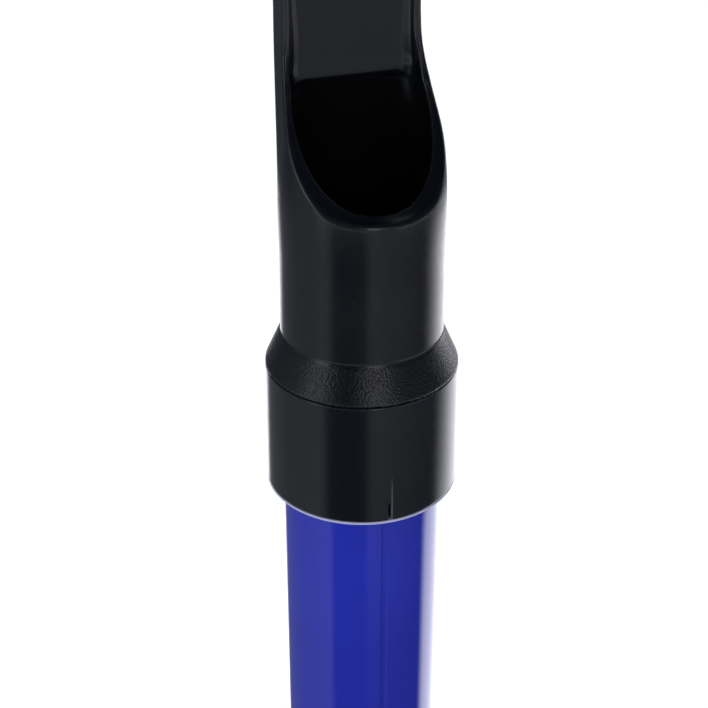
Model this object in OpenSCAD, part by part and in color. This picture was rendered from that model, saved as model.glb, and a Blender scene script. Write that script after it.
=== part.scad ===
// Telescopic boat hook, standing upright on its butt cap and slid shut.
// The origin is the centre of the cap's flat end. +Z runs up the pole to the nose of the hook,
// +X is the side that the hook and the clamp ears are on, and -Y is the grooved front of the pole.

/* [Pole] */
// Outside diameter of the top tube, the one that carries the head
top_od = 25.4; // [25:0.1:25.4]
// Outside diameter of the middle tube
mid_od = 28.6; // [28.6:0.1:28.8]
// Outside diameter of the outer tube, which is the handle
outer_od = 32; // [32:0.1:32.2]
// Wall of all three tubes
tube_wall = 1.0; // [0.9:0.05:1.0]
// Width of the groove that runs down the front of the tubes
groove_w = 1.1; // [0.9:0.1:1.4]
// Depth of that groove
groove_depth = 0.3; // [0.25:0.05:0.4]
// Length of the outer tube
outer_len = 498; // [470:1:560]
// Bare middle tube between the two clamps when the pole is shut
mid_show = 44; // [20:1:60]
// Bare top tube between the upper clamp and the collar when the pole is shut
top_show = 91; // [90:1:140]
// Travel of the middle tube
mid_travel = 425; // [300:1:425]
// Travel of the top tube
top_travel = 500; // [350:1:500]

/* [Head neck] */
// Radius of the neck just above the taper
neck_r = 12.57; // [12.5:0.01:12.8]
// Radius of the neck at the scoop's front lip
neck_top_r = 12.3; // [12.1:0.05:12.5]
// Radius of the taper's lower edge
taper_r = 15.1; // [15.1:0.05:15.3]
// Height of the taper
taper_h = 5.6; // [5:0.1:8]
// Radius of the hollow inside the spigot and neck
hollow_r = 10; // [9.5:0.1:10.2]
// Height of the hollow's roof above the seam
hollow_top = 44; // [42:0.1:46]
// Height of the scoop's front lip above the seam
lip_z = 28.4; // [27:0.1:30]
// Radius of the scoop's curve, seen from the side
scoop_r = 61.3; // [58:0.1:64]
// Length of the spigot inside the top tube
spigot_len = 46; // [36:1:60]

/* [Hook] */
// Half width of the spine
spine_half_w = 10.3; // [10:0.1:11]
// Y of the spine's front face, behind the pole's axis
spine_front_y = 4.6; // [4:0.1:5.5]
// Thickness of the hook section, front to back
hook_thick = 15; // [14:0.5:15]
// Thickness of the web that joins the rims
web_thick = 3.5; // [3:0.1:4.5]
// Width of the rims round the pockets
rim_w = 2.2; // [2:0.1:2.6]
// Height of the nose's tip above the seam
nose_z = 165; // [162:1:170]
// Radius of the nose
nose_r = 12.5; // [11.5:0.5:13]
// Outer radius of the hook's arch
arch_r = 33.5; // [32:0.5:35]
// Radius of the throat that the line runs in
throat_r = 17.5; // [16:0.5:18]
// Height of the arch's centre above the seam
arch_z = 104; // [102:1:106]
// Height of the hook's tip above the seam
tip_z = 77; // [74:1:84]

/* [Collar] */
// Length of the collar
collar_len = 20.5; // [18:0.5:24]
// Radius of the collar's upper edge
collar_top_r = 15; // [14.8:0.05:15.1]
// Radius of the collar's lower edge
collar_low_r = 15.2; // [15.1:0.05:15.4]
// Thickness of the pale washer under the collar
washer_t = 0.45; // [0.4:0.05:0.8]

/* [Clamps] */
// Wall of the clamp body round its tube
clamp_wall = 2.6; // [2.6:0.1:3]
// Length of the clamp body below the tube's end
clamp_low = 24; // [20:1:30]
// Length of the clamp body above the tube's end
clamp_high = 22; // [22:1:26]
// Width of the slit that lets the clamp close
slit_w = 2.4; // [2:0.1:3]
// Radius of the tension bolt
bolt_r = 2; // [1.8:0.1:2]
// Radius of the lever's pin
pin_r = 2.5; // [2.4:0.1:2.6]
// Radius of the lever's cam
cam_r = 4.6; // [4.4:0.1:4.8]
// Thickness of the lever's arm
arm_t = 3.2; // [2.8:0.1:3.6]

/* [Handle end] */
// Outside radius of the butt cap
cap_r = 18.4; // [18:0.1:19]
// Height of the butt cap
cap_h = 48; // [44:1:56]
// Thickness of the cap's closed end, where the tube stands
cap_floor = 22; // [20:1:24]
// Radius of the lanyard hole
hang_r = 4; // [3:0.5:4.5]
// Outside radius of the foam grip
grip_r = 20.5; // [19.5:0.5:22]
// Height of the grip's lower end
grip_z = 64; // [60:1:80]
// Length of the grip
grip_len = 150; // [110:5:180]

/* [Fits] */
// Radial clearance of a tube or pin that slides or turns in its guide
run_gap = 0.1; // [0.05:0.01:0.1]
// Gap between pieces that move past or stop against each other
free_gap = 0.3; // [0.3:0.05:0.4]

/* [Hidden] */
$fn = 96;
eps = 0.01;

outer_r = outer_od / 2;
mid_r = mid_od / 2;
top_r = top_od / 2;
outer_bore = outer_r - tube_wall;
mid_bore = mid_r - tube_wall;
top_bore = top_r - tube_wall;

// Heights up the pole, from the butt
lower_z = cap_floor + outer_len;
upper_z = lower_z + clamp_high + 2 + mid_show + clamp_low;
washer_z = upper_z + clamp_high + 2 + top_show;
collar_z = washer_z + washer_t;
seam_z = collar_z + collar_len + free_gap;

// The bumper and the two guide bushes stack up inside the handle
bumper_h = 6;
bush_base = 5;
bush_plug = 6;
mid_z = cap_floor + bumper_h + free_gap + bush_base;
top_z = mid_z + bush_plug + free_gap + bush_base;
tube_top_gap = 0.2;

// Small screws
screw_r = 1.5;
screw_head_r = 3;
screw_head_h = 1.4;
clamp_screw_drop = 14;
cap_screw_z = 35;
head_pin_r = 2;
head_pin_drop = 11.5;

// Clamp layout, in the clamp's own frame: z is 0 at the end of its tube
ear_reach = 11;
ear_t = 5;
ear_low = 2;
ear_h = 18;
plate_t = 0.8;
bolt_out = 5.5;
bolt_z = ear_low + ear_h / 2;
ear_y = slit_w / 2 + ear_t;
pin_y = ear_y + plate_t + free_gap + cam_r;
lever_gap = 0.4;
lever_slot_h = 7;
nut_r = 4;
nut_h = 3.4;
arm_end = -142;

// Head layout, with heights above the seam
arm_w = 12.7;
outline_low = 20;
spine_z = 52.5;
bend_low = 62;
bend_high = 92;
dish_floor_y = 6;
scoop_reach = 55.6;
scoop_z = 74.5;
ease_steps = 12;

black = [0.05, 0.05, 0.06];
soft_black = [0.10, 0.10, 0.11];
blue = [0.13, 0.17, 0.62];
steel = [0.75, 0.76, 0.78];
pale = [0.78, 0.80, 0.86];
foam = [0.90, 0.88, 0.80];

// ---------------------------------------------------------------- shared shapes

// Ring between two radii, from z to z + h
module ring(r_out, r_in, z, h) {
    translate([0, 0, z]) difference() {
        cylinder(r = r_out, h = h);
        translate([0, 0, -1]) cylinder(r = r_in, h = h + 2);
    }
}

// Tube with the shallow groove down its front
module grooved_tube(r, z, len) {
    difference() {
        ring(r, r - tube_wall, z, len);
        translate([-groove_w / 2, -r - 1, z - 1]) cube([groove_w, 1 + groove_depth, len + 2]);
    }
}

// Points along an arc round a centre, from angle a0 to angle a1
function arc(centre, r, a0, a1) =
    let (steps = max(2, ceil(abs(a1 - a0) / 7.5)))
    [for (i = [0 : steps]) let (a = a0 + (a1 - a0) * i / steps) centre + r * [cos(a), sin(a)]];

// Heading of the line from a to b
function heading(a, b) = atan2(b[1] - a[1], b[0] - a[0]);

// Screw driven inwards from the back: the shank ends at depth_r, the head sits on seat_r
module back_screw(seat_r, depth_r, z) {
    translate([0, 0, z]) rotate([-90, 0, 0]) {
        translate([0, 0, depth_r]) cylinder(r = screw_r, h = seat_r - depth_r);
        difference() {
            translate([0, 0, seat_r]) cylinder(r = screw_head_r, h = screw_head_h);
            for (turn = [0, 90]) rotate([0, 0, turn])
                translate([-1.6, -0.35, seat_r + 0.7]) cube([3.2, 0.7, 2]);
        }
    }
}

// Hole for such a screw through a wall, with a flat seat for its head
module back_screw_hole(seat_r, z) {
    translate([0, 0, z]) rotate([-90, 0, 0]) {
        cylinder(r = screw_r, h = seat_r + 5);
        translate([0, 0, seat_r]) cylinder(r = screw_head_r + 0.6, h = 5);
    }
}

// Point where circles round a and b cross, on the left going from a to b
function crossing(a, ra, b, rb) =
    let (d = norm(b - a),
         along = (ra * ra - rb * rb + d * d) / (2 * d),
         off = sqrt(ra * ra - along * along),
         u = (b - a) / d)
    a + along * u + off * [-u[1], u[0]];

// Smooth step of height, from a at z0 to b at z1
function ease(z0, a, z1, b) = [
    for (i = [0 : ease_steps])
        let (t = i / ease_steps)
        [a + (b - a) * (1 - cos(180 * t)) / 2, z0 + (z1 - z0) * t]
];

// Solid with a side outline in Y and Z, wide enough to cross the whole head
module side_slab(outline) {
    rotate([90, 0, 90]) translate([0, 0, -40]) linear_extrude(120) polygon(outline);
}

// Solid with a front outline in X and Z, deep enough to cross the whole head
module front_slab() {
    translate([0, 30, 0]) rotate([90, 0, 0]) linear_extrude(60) children();
}

// Its children, and their mirror image across X = 0
module both_sides() {
    children();
    mirror([1, 0, 0]) children();
}

// ---------------------------------------------------------------- handle end

module end_cap() {
    edge = 3;
    mouth = 1.2;
    color(soft_black) difference() {
        rotate_extrude() difference() {
            union() {
                square([cap_r - edge, cap_h]);
                translate([0, edge]) square([cap_r, cap_h - edge - mouth]);
                translate([cap_r - edge, edge]) circle(r = edge);
                translate([0, cap_h - mouth]) square([cap_r - mouth, mouth]);
            }
            translate([outer_r, cap_floor]) mirror([1, 0]) square([outer_r, cap_h]);
            translate([-cap_r, -1]) square([cap_r, cap_h + 2]);
        }
        translate([-cap_r - 1, 0, cap_floor / 2]) rotate([0, 90, 0])
            cylinder(r = hang_r, h = 2 * cap_r + 2);
        back_screw_hole(cap_r - 0.3, cap_screw_z);
    }
}

module end_cap_screw() {
    color(steel) back_screw(cap_r - 0.3, outer_bore, cap_screw_z);
}

module butt_bumper() {
    color(soft_black) ring(outer_bore - 0.05, 4, cap_floor, bumper_h);
}

module outer_tube() {
    color(blue) difference() {
        grooved_tube(outer_r, cap_floor, outer_len);
        translate([0, 0, cap_screw_z]) rotate([-90, 0, 0]) cylinder(r = screw_r, h = outer_r + 1);
        translate([0, 0, lower_z - clamp_screw_drop]) rotate([-90, 0, 0])
            cylinder(r = screw_r, h = outer_r + 1);
    }
}

module grip_sleeve() {
    edge = 3.5;
    color(soft_black) translate([0, 0, grip_z]) rotate_extrude() difference() {
        union() {
            translate([0, edge]) square([grip_r, grip_len - 2 * edge]);
            square([grip_r - edge, grip_len]);
            for (z = [edge, grip_len - edge]) translate([grip_r - edge, z]) circle(r = edge);
        }
        translate([-grip_r, -1]) square([grip_r + outer_r, grip_len + 2]);
    }
}

// ---------------------------------------------------------------- clamps
// tube is the radius of the tube that the clamp is fixed to, rod that of the tube it grips

module clamp_body(tube) {
    out = tube + clamp_wall;
    ear_x = out + ear_reach;
    ear_edge = 3;
    color(black) difference() {
        union() {
            translate([0, 0, -clamp_low]) cylinder(r = out, h = clamp_low + clamp_high);
            for (z = [-clamp_low, -3]) translate([0, 0, z]) cylinder(r = out + 0.5, h = 3);
            translate([0, 0, ear_low]) linear_extrude(ear_h) {
                translate([tube, -ear_y]) square([ear_reach + clamp_wall - ear_edge, 2 * ear_y]);
                translate([tube, ear_edge - ear_y])
                    square([ear_x - tube, 2 * (ear_y - ear_edge)]);
                for (s = [-1, 1]) translate([ear_x - ear_edge, s * (ear_y - ear_edge)])
                    circle(r = ear_edge);
            }
        }
        translate([0, 0, -clamp_low - 1]) cylinder(r = tube, h = clamp_low + clamp_high + 2);
        translate([tube - 2, -slit_w / 2, ear_low - 1])
            cube([ear_reach + clamp_wall + 4, slit_w, clamp_high]);
        translate([out + bolt_out, -ear_y - 1, bolt_z]) rotate([-90, 0, 0])
            cylinder(r = bolt_r + 0.15, h = 2 * ear_y + 2);
        back_screw_hole(out - 0.3, -clamp_screw_drop);
    }
}

// Split plastic liner that the clamp squeezes on to the moving tube, with a lip on top
// and a key that runs in the tube's groove
module clamp_liner(tube, rod) {
    key_w = groove_w - 0.4;
    key_in = groove_depth / 2;
    color(soft_black) {
        difference() {
            union() {
                ring(tube, rod + run_gap, 0, clamp_high);
                ring(tube + clamp_wall - 0.8, rod + run_gap, clamp_high, 2);
            }
            translate([0, -0.8, -1]) cube([tube + clamp_wall + 1, 1.6, clamp_high + 4]);
        }
        translate([-key_w / 2, -rod - 0.8, 0]) cube([key_w, 0.8 + key_in, clamp_high]);
    }
}

module clamp_screw(tube) {
    color(steel) back_screw(tube + clamp_wall - 0.3, tube - tube_wall, -clamp_screw_drop);
}

module cam_plate(tube) {
    x = tube + clamp_wall + bolt_out;
    color(steel) translate([x, -ear_y, bolt_z]) rotate([90, 0, 0]) difference() {
        linear_extrude(plate_t) {
            square([9, 12], center = true);
            for (s = [-1, 1]) translate([0, 6 * s]) circle(r = 2);
        }
        translate([0, 0, -1]) cylinder(r = bolt_r + 0.15, h = plate_t + 2);
    }
}

module tension_bolt(tube) {
    x = tube + clamp_wall + bolt_out;
    low_y = -pin_y - pin_r - 1;
    high_y = ear_y + nut_h + 1.2;
    color(steel) translate([x, low_y, bolt_z]) rotate([-90, 0, 0]) {
        cylinder(r = bolt_r, h = high_y - low_y);
    }
}

module lock_nut(tube) {
    x = tube + clamp_wall + bolt_out;
    color(steel) translate([x, ear_y, bolt_z]) rotate([-90, 0, 0]) difference() {
        union() {
            cylinder(r = nut_r, h = nut_h - 0.8, $fn = 6);
            translate([0, 0, nut_h - 0.8]) cylinder(r = nut_r - 0.7, h = 0.8);
        }
        translate([0, 0, -1]) cylinder(r = bolt_r, h = nut_h + 2);
    }
}

module lever_pin(tube) {
    x = tube + clamp_wall + bolt_out;
    color(steel) difference() {
        translate([x, -pin_y, ear_low]) cylinder(r = pin_r, h = ear_h);
        translate([x, -pin_y - pin_r - 1, bolt_z]) rotate([-90, 0, 0])
            cylinder(r = bolt_r, h = 2 * pin_r + 2);
    }
}

// Lever with two cams on the pin and an arm that wraps the front of the clamp.
// Straight flanks run from the cams to the arm, tangent to both.
module lever(tube) {
    out = tube + clamp_wall;
    pin = [out + bolt_out, -pin_y];
    low_r = out + lever_gap;
    high_r = low_r + arm_t;
    to_pole = heading(pin, [0, 0]);
    inner_lean = to_pole - acos((cam_r + low_r) / norm(pin));
    outer_lean = to_pole + acos((cam_r - high_r) / norm(pin)) - 360;
    tab = 7;
    tab_r = arm_t / 2 + 0.2;
    along = [sin(arm_end), -cos(arm_end)];
    tab_end = (low_r + arm_t / 2 + 1.6) * [cos(arm_end), sin(arm_end)] + tab * along;
    color(black) difference() {
        translate([0, 0, ear_low + lever_gap]) linear_extrude(ear_h - 2 * lever_gap)
            polygon(concat(
                arc(pin, cam_r, inner_lean, outer_lean),
                arc([0, 0], high_r, outer_lean, arm_end),
                arc(tab_end, tab_r, arm_end, arm_end - 180),
                arc([0, 0], low_r, arm_end, inner_lean - 180)
            ));
        translate([pin[0], pin[1], -1]) cylinder(r = pin_r + run_gap / 2, h = ear_low + ear_h + 2);
        translate([pin[0], pin[1], bolt_z - lever_slot_h / 2])
            cylinder(r = cam_r + 2, h = lever_slot_h);
        // Three finger grooves across the tab
        for (z = [-4, 0, 4]) rotate([0, 0, arm_end])
            translate([high_r + 1.4, -tab - 1, bolt_z + z]) rotate([-90, 0, 0])
                cylinder(r = 0.9, h = tab - 1);
    }
}

module at_lower() { translate([0, 0, lower_z]) children(); }
module at_upper() { translate([0, 0, upper_z]) children(); }

module lower_clamp_body() { at_lower() clamp_body(outer_r); }
module lower_clamp_liner() { at_lower() clamp_liner(outer_r, mid_r); }
module lower_clamp_screw() { at_lower() clamp_screw(outer_r); }
module lower_cam_plate() { at_lower() cam_plate(outer_r); }
module lower_tension_bolt() { at_lower() tension_bolt(outer_r); }
module lower_lock_nut() { at_lower() lock_nut(outer_r); }
module lower_lever_pin() { at_lower() lever_pin(outer_r); }
module lower_lever() { at_lower() lever(outer_r); }

module upper_clamp_body() { at_upper() clamp_body(mid_r); }
module upper_clamp_liner() { at_upper() clamp_liner(mid_r, top_r); }
module upper_clamp_screw() { at_upper() clamp_screw(mid_r); }
module upper_cam_plate() { at_upper() cam_plate(mid_r); }
module upper_tension_bolt() { at_upper() tension_bolt(mid_r); }
module upper_lock_nut() { at_upper() lock_nut(mid_r); }
module upper_lever_pin() { at_upper() lever_pin(mid_r); }
module upper_lever() { at_upper() lever(mid_r); }

// ---------------------------------------------------------------- sliding tubes

// Bush on the lower end of a tube: a base, a plug inside the tube and a sleeve round it.
// The sleeve's top meets the liner of the clamp above when the tube is fully out.
module guide_bush(tube, bore, z, sleeve_top) {
    color(soft_black) difference() {
        union() {
            translate([0, 0, z - bush_base]) cylinder(r = bore - run_gap, h = bush_base);
            translate([0, 0, z - eps]) cylinder(r = tube - tube_wall, h = bush_plug + eps);
            ring(bore - run_gap, tube, z - eps, sleeve_top - z + eps);
        }
        translate([0, 0, z - bush_base - 1]) cylinder(r = 3, h = bush_base + bush_plug + 2);
    }
}

module mid_tube() {
    color(blue) difference() {
        grooved_tube(mid_r, mid_z, upper_z - mid_z);
        translate([0, 0, upper_z - clamp_screw_drop]) rotate([-90, 0, 0])
            cylinder(r = screw_r, h = mid_r + 1);
    }
}

module mid_guide_bush() {
    guide_bush(mid_r, outer_bore, mid_z, lower_z - mid_travel - free_gap);
}

module top_tube() {
    color(blue) difference() {
        grooved_tube(top_r, top_z, seam_z - tube_top_gap - top_z);
        head_pin_hole(seam_z);
    }
}

module top_guide_bush() {
    guide_bush(top_r, mid_bore, top_z, upper_z - top_travel - free_gap);
}

module float_plug() {
    color(foam) translate([0, 0, top_z + 140]) cylinder(r = top_bore - 0.1, h = 320);
}

// ---------------------------------------------------------------- head

// Front outline of the spine, nose and hook, shrunk all round by inset. Every arc keeps
// its centre, so an inset outline is tangent wherever the full one is.
module hook_outline(inset) {
    half = spine_half_w - inset;
    nose = [0, nose_z - nose_r];
    nose_blend = 12;
    crotch_blend = 8;
    arch = [spine_half_w + 2 * throat_r + arm_w - arch_r, arch_z];
    throat = [spine_half_w + throat_r, arch_z];
    tip = [arch[0] + arch_r - arm_w / 2, tip_z + arm_w / 2];
    side = [-spine_half_w - nose_blend,
        nose[1] - sqrt(pow(nose_r + nose_blend, 2) - pow(spine_half_w + nose_blend, 2))];
    crotch = crossing(nose, nose_r + crotch_blend, arch, arch_r + crotch_blend);
    polygon(concat(
        [[-half, outline_low]],
        arc(side, nose_blend + inset, 0, heading(side, nose)),
        arc(nose, nose_r - inset, heading(side, nose) + 180, heading(nose, crotch)),
        arc(crotch, crotch_blend + inset, heading(nose, crotch) + 180, heading(crotch, arch) + 360),
        arc(arch, arch_r - inset, heading(arch, crotch), 0),
        arc(tip, arm_w / 2 - inset, 0, -180),
        arc(throat, throat_r + inset, 0, 180),
        [[half, outline_low]]
    ));
}

// Ribs across the pockets, as strips in the front outline
module rib_strips() {
    rib = 2;
    arch_x = spine_half_w + throat_r;
    for (z = [112, 134]) translate([-20, z]) square([20 + spine_half_w, rib]);
    for (turn = [15, 50, 85, 120]) translate([arch_x, arch_z]) rotate(turn)
        translate([throat_r - 3, -rib / 2]) square([30, rib]);
}

// Hole for the rivet, where seam is the height of the seam
module head_pin_hole(seam) {
    translate([0, 0, seam - head_pin_drop]) rotate([-90, 0, 0]) cylinder(r = head_pin_r, h = 30);
}

module hook_head() {
    half_t = hook_thick / 2;
    half_web = web_thick / 2;
    corner_y = sqrt(neck_top_r * neck_top_r - spine_half_w * spine_half_w) - 0.1;
    color(black) translate([0, 0, seam_z]) difference() {
        union() {
            // Spigot, taper and round neck, whose sides narrow to the spine's width
            difference() {
                rotate_extrude() polygon([
                    [0, -spigot_len],
                    [top_bore - 0.05, -spigot_len],
                    [top_bore - 0.05, 0],
                    [taper_r, 0],
                    [taper_r, 0.2],
                    [neck_r, taper_h],
                    [neck_top_r, lip_z],
                    [neck_top_r, spine_z],
                    [0, spine_z]
                ]);
                both_sides() front_slab() polygon([
                    [neck_top_r + 0.5, lip_z],
                    [spine_half_w, spine_z + 0.2],
                    [neck_top_r + 5, spine_z + 0.2],
                    [neck_top_r + 5, lip_z]
                ]);
            }
            // Spine, nose and hook. The spine's square back corners grow out of the round neck.
            intersection() {
                front_slab() hook_outline(0);
                side_slab(concat(
                    [[0, lip_z], [spine_front_y, spine_z]],
                    ease(bend_low, spine_front_y, bend_high, -half_t),
                    [[-half_t, 200], [half_t, 200]],
                    ease(bend_high + 3, half_t, bend_low - 2, neck_top_r),
                    [[neck_top_r - 0.05, spine_z], [corner_y, lip_z]]
                ));
            }
        }
        // Hollow of the spigot and neck
        translate([0, 0, -spigot_len - 1]) cylinder(r = hollow_r, h = spigot_len + 1 + hollow_top);
        // Scoop across the front
        intersection() {
            translate([-40, spine_front_y - scoop_reach, scoop_z]) rotate([0, 90, 0])
                cylinder(r = scoop_r, h = 80, $fn = 180);
            translate([-40, spine_front_y - 40, lip_z]) cube([80, 40, bend_low - lip_z]);
        }
        // Front pocket: a shallow dish on the spine that deepens on the hook
        intersection() {
            front_slab() difference() {
                hook_outline(rim_w);
                translate([-50, 0]) square([150, hollow_top - 1.5]);
                rib_strips();
            }
            side_slab(concat(
                [[-40, 30], [dish_floor_y, 30]],
                ease(bend_low, dish_floor_y, bend_high, -half_web),
                [[-half_web, 200], [-40, 200]]
            ));
        }
        // Back pocket
        intersection() {
            front_slab() difference() {
                hook_outline(rim_w);
                rib_strips();
            }
            side_slab(concat(
                ease(76, neck_top_r + 0.5, 98, half_web),
                [[half_web, 200], [40, 200], [40, 76]]
            ));
        }
        head_pin_hole(0);
    }
}

module head_collar() {
    notch_w = 0.6;
    notch_h = 3;
    color(black) translate([0, 0, collar_z]) difference() {
        rotate_extrude() polygon([
            [top_r, 0],
            [collar_low_r - 0.2, 0],
            [collar_low_r, 0.2],
            [collar_top_r, collar_len - 0.2],
            [collar_top_r - 0.2, collar_len],
            [top_r, collar_len]
        ]);
        translate([-notch_w / 2, -collar_low_r - 1, -1]) cube([notch_w, 4, notch_h + 1]);
        head_pin_hole(seam_z - collar_z);
    }
}

module collar_washer() {
    color(pale) ring(collar_low_r - 0.02, top_r, washer_z, washer_t);
}

// Rivet pressed in from the back, through collar, tube and spigot
module head_pin() {
    inner = hollow_r + 0.4;
    color(soft_black) translate([0, inner, seam_z - head_pin_drop]) rotate([-90, 0, 0])
        cylinder(r = head_pin_r, h = collar_top_r - 0.1 - inner);
}

end_cap();
end_cap_screw();
butt_bumper();
outer_tube();
grip_sleeve();
lower_clamp_body();
lower_clamp_liner();
lower_clamp_screw();
lower_cam_plate();
lower_tension_bolt();
lower_lock_nut();
lower_lever_pin();
lower_lever();
mid_tube();
mid_guide_bush();
upper_clamp_body();
upper_clamp_liner();
upper_clamp_screw();
upper_cam_plate();
upper_tension_bolt();
upper_lock_nut();
upper_lever_pin();
upper_lever();
top_tube();
top_guide_bush();
float_plug();
hook_head();
head_collar();
collar_washer();
head_pin();
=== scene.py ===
import math

import bpy
import numpy as np
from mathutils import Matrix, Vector


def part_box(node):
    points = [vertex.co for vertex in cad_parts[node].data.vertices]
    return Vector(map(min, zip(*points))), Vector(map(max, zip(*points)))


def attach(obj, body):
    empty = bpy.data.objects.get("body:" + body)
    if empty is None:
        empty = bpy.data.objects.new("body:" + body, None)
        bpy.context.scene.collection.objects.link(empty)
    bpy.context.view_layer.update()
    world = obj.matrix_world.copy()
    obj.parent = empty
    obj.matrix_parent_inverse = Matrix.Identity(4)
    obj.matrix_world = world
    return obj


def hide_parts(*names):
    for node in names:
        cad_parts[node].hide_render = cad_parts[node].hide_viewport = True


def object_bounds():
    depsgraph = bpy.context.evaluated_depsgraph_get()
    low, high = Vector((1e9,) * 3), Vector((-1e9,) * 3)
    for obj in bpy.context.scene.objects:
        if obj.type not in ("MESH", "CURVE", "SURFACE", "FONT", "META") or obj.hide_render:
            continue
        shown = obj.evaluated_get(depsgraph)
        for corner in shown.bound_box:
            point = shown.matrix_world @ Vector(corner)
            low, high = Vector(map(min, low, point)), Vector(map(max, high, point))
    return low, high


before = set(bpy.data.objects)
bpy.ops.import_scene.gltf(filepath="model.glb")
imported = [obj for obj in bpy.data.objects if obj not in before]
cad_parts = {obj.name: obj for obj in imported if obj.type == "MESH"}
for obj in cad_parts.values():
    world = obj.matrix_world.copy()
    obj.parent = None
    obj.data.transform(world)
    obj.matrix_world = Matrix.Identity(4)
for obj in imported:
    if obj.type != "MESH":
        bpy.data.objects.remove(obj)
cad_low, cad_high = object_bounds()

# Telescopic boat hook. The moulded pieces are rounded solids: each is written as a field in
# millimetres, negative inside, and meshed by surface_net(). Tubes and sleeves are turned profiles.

MM = 0.001


# ---------------------------------------------------------------- sizes taken from the frame

def low(node):
    """Lowest corner of a CAD node, in millimetres."""
    return np.array(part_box(node)[0]) / MM


def high(node):
    """Highest corner of a CAD node, in millimetres."""
    return np.array(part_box(node)[1]) / MM


def radius(node):
    """Outer radius of a round CAD node on the pole's axis, in millimetres."""
    return float(high(node)[0])


seam_z = high("head_collar")[2] + 0.3
collar_low_r = radius("collar_washer") + 0.02
top_r = radius("top_tube")
outer_r = radius("outer_tube")
tube_wall = 1.0

# Head, with heights above the seam between it and the collar
taper_r, taper_h, taper_lip = 15.02, 5.7, 0.1
neck_r, neck_top_r = 12.57, 12.3
lip_z = 28.4
hollow_r, hollow_top = 10.0, 43.4
spine_half_w, spine_front_y = 10.3, 4.6
scoop_r, scoop_y, scoop_z = 61.3, spine_front_y - 55.6, 74.5
bend_low, bend_high = 62.0, 92.0
dish_floor_y = 6.0
half_thick, half_web = 7.5, 1.75
spigot_len = seam_z - low("hook_head")[2]

# Rivet in the back of the ferrule, and the self-tapping screws of the cap and clamps
rivet_z = (low("head_pin")[2] + high("head_pin")[2]) / 2
rivet_r = (high("head_pin")[2] - low("head_pin")[2]) / 2
screw_seat_r, screw_seat_depth, screw_shank_r = 3.6, 0.3, 1.5

# Groove down the front of each tube
groove_depth, groove_half_w, groove_soft = 0.3, 0.32, 0.26

# Front outline of the hook
nose_r = 12.5
nose = np.array([0.0, high("hook_head")[2] - seam_z - nose_r])
arch_r, throat_r, arch_z, arm_w = 33.5, 17.5, 104.0, 12.7
arch = np.array([high("hook_head")[0] - arch_r, arch_z])
throat = np.array([spine_half_w + throat_r, arch_z])
tip = np.array([high("hook_head")[0] - arm_w / 2, 77.0 + arm_w / 2])


# ---------------------------------------------------------------- field helpers

def round_max(a, b, r):
    """Where both fields are negative, with the edge between them rounded to radius r."""
    return np.minimum(np.maximum(a, b), -r) + np.hypot(np.maximum(a + r, 0), np.maximum(b + r, 0))


def round_min(a, b, r):
    """Where either field is negative, with the inside corner filled to radius r."""
    return -round_max(-a, -b, r)


def cut(a, b, r):
    """Field a with field b taken away, its new edge rounded to radius r."""
    return round_max(a, -b, r)


def ease(t, t0, a, t1, b):
    """Smooth step from a at t0 to b at t1."""
    u = np.clip((t - t0) / (t1 - t0), 0, 1)
    return a + (b - a) * (1 - np.cos(np.pi * u)) / 2


def box_field(x, y, z, centre, half, r):
    """Box with rounded edges."""
    q = [np.abs(v - c) - (h - r) for v, c, h in zip((x, y, z), centre, half)]
    outside = np.sqrt(sum(np.maximum(v, 0) ** 2 for v in q))
    return outside + np.minimum(np.maximum(np.maximum(q[0], q[1]), q[2]), 0) - r


def steps(*stretches):
    """Grid lines through stretches of (from, to, spacing) that follow each other."""
    lines = []
    for a, b, h in stretches:
        n = max(1, round((b - a) / h))
        lines += [a + (b - a) * i / n for i in range(n)]
    return np.array(lines + [stretches[-1][1]])


def arc(centre, r, a0, a1):
    """Points along an arc, every 2 degrees or so."""
    n = max(2, math.ceil(abs(a1 - a0) / 2))
    a = np.radians(np.linspace(a0, a1, n + 1))
    return np.column_stack([centre[0] + r * np.cos(a), centre[1] + r * np.sin(a)])


def heading(a, b):
    return math.degrees(math.atan2(b[1] - a[1], b[0] - a[0]))


def crossing(a, ra, b, rb):
    """Where circles round a and b cross, on the left going from a to b."""
    d = np.linalg.norm(b - a)
    along = (ra * ra - rb * rb + d * d) / (2 * d)
    off = math.sqrt(ra * ra - along * along)
    u = (b - a) / d
    return a + along * u + off * np.array([-u[1], u[0]])


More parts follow.
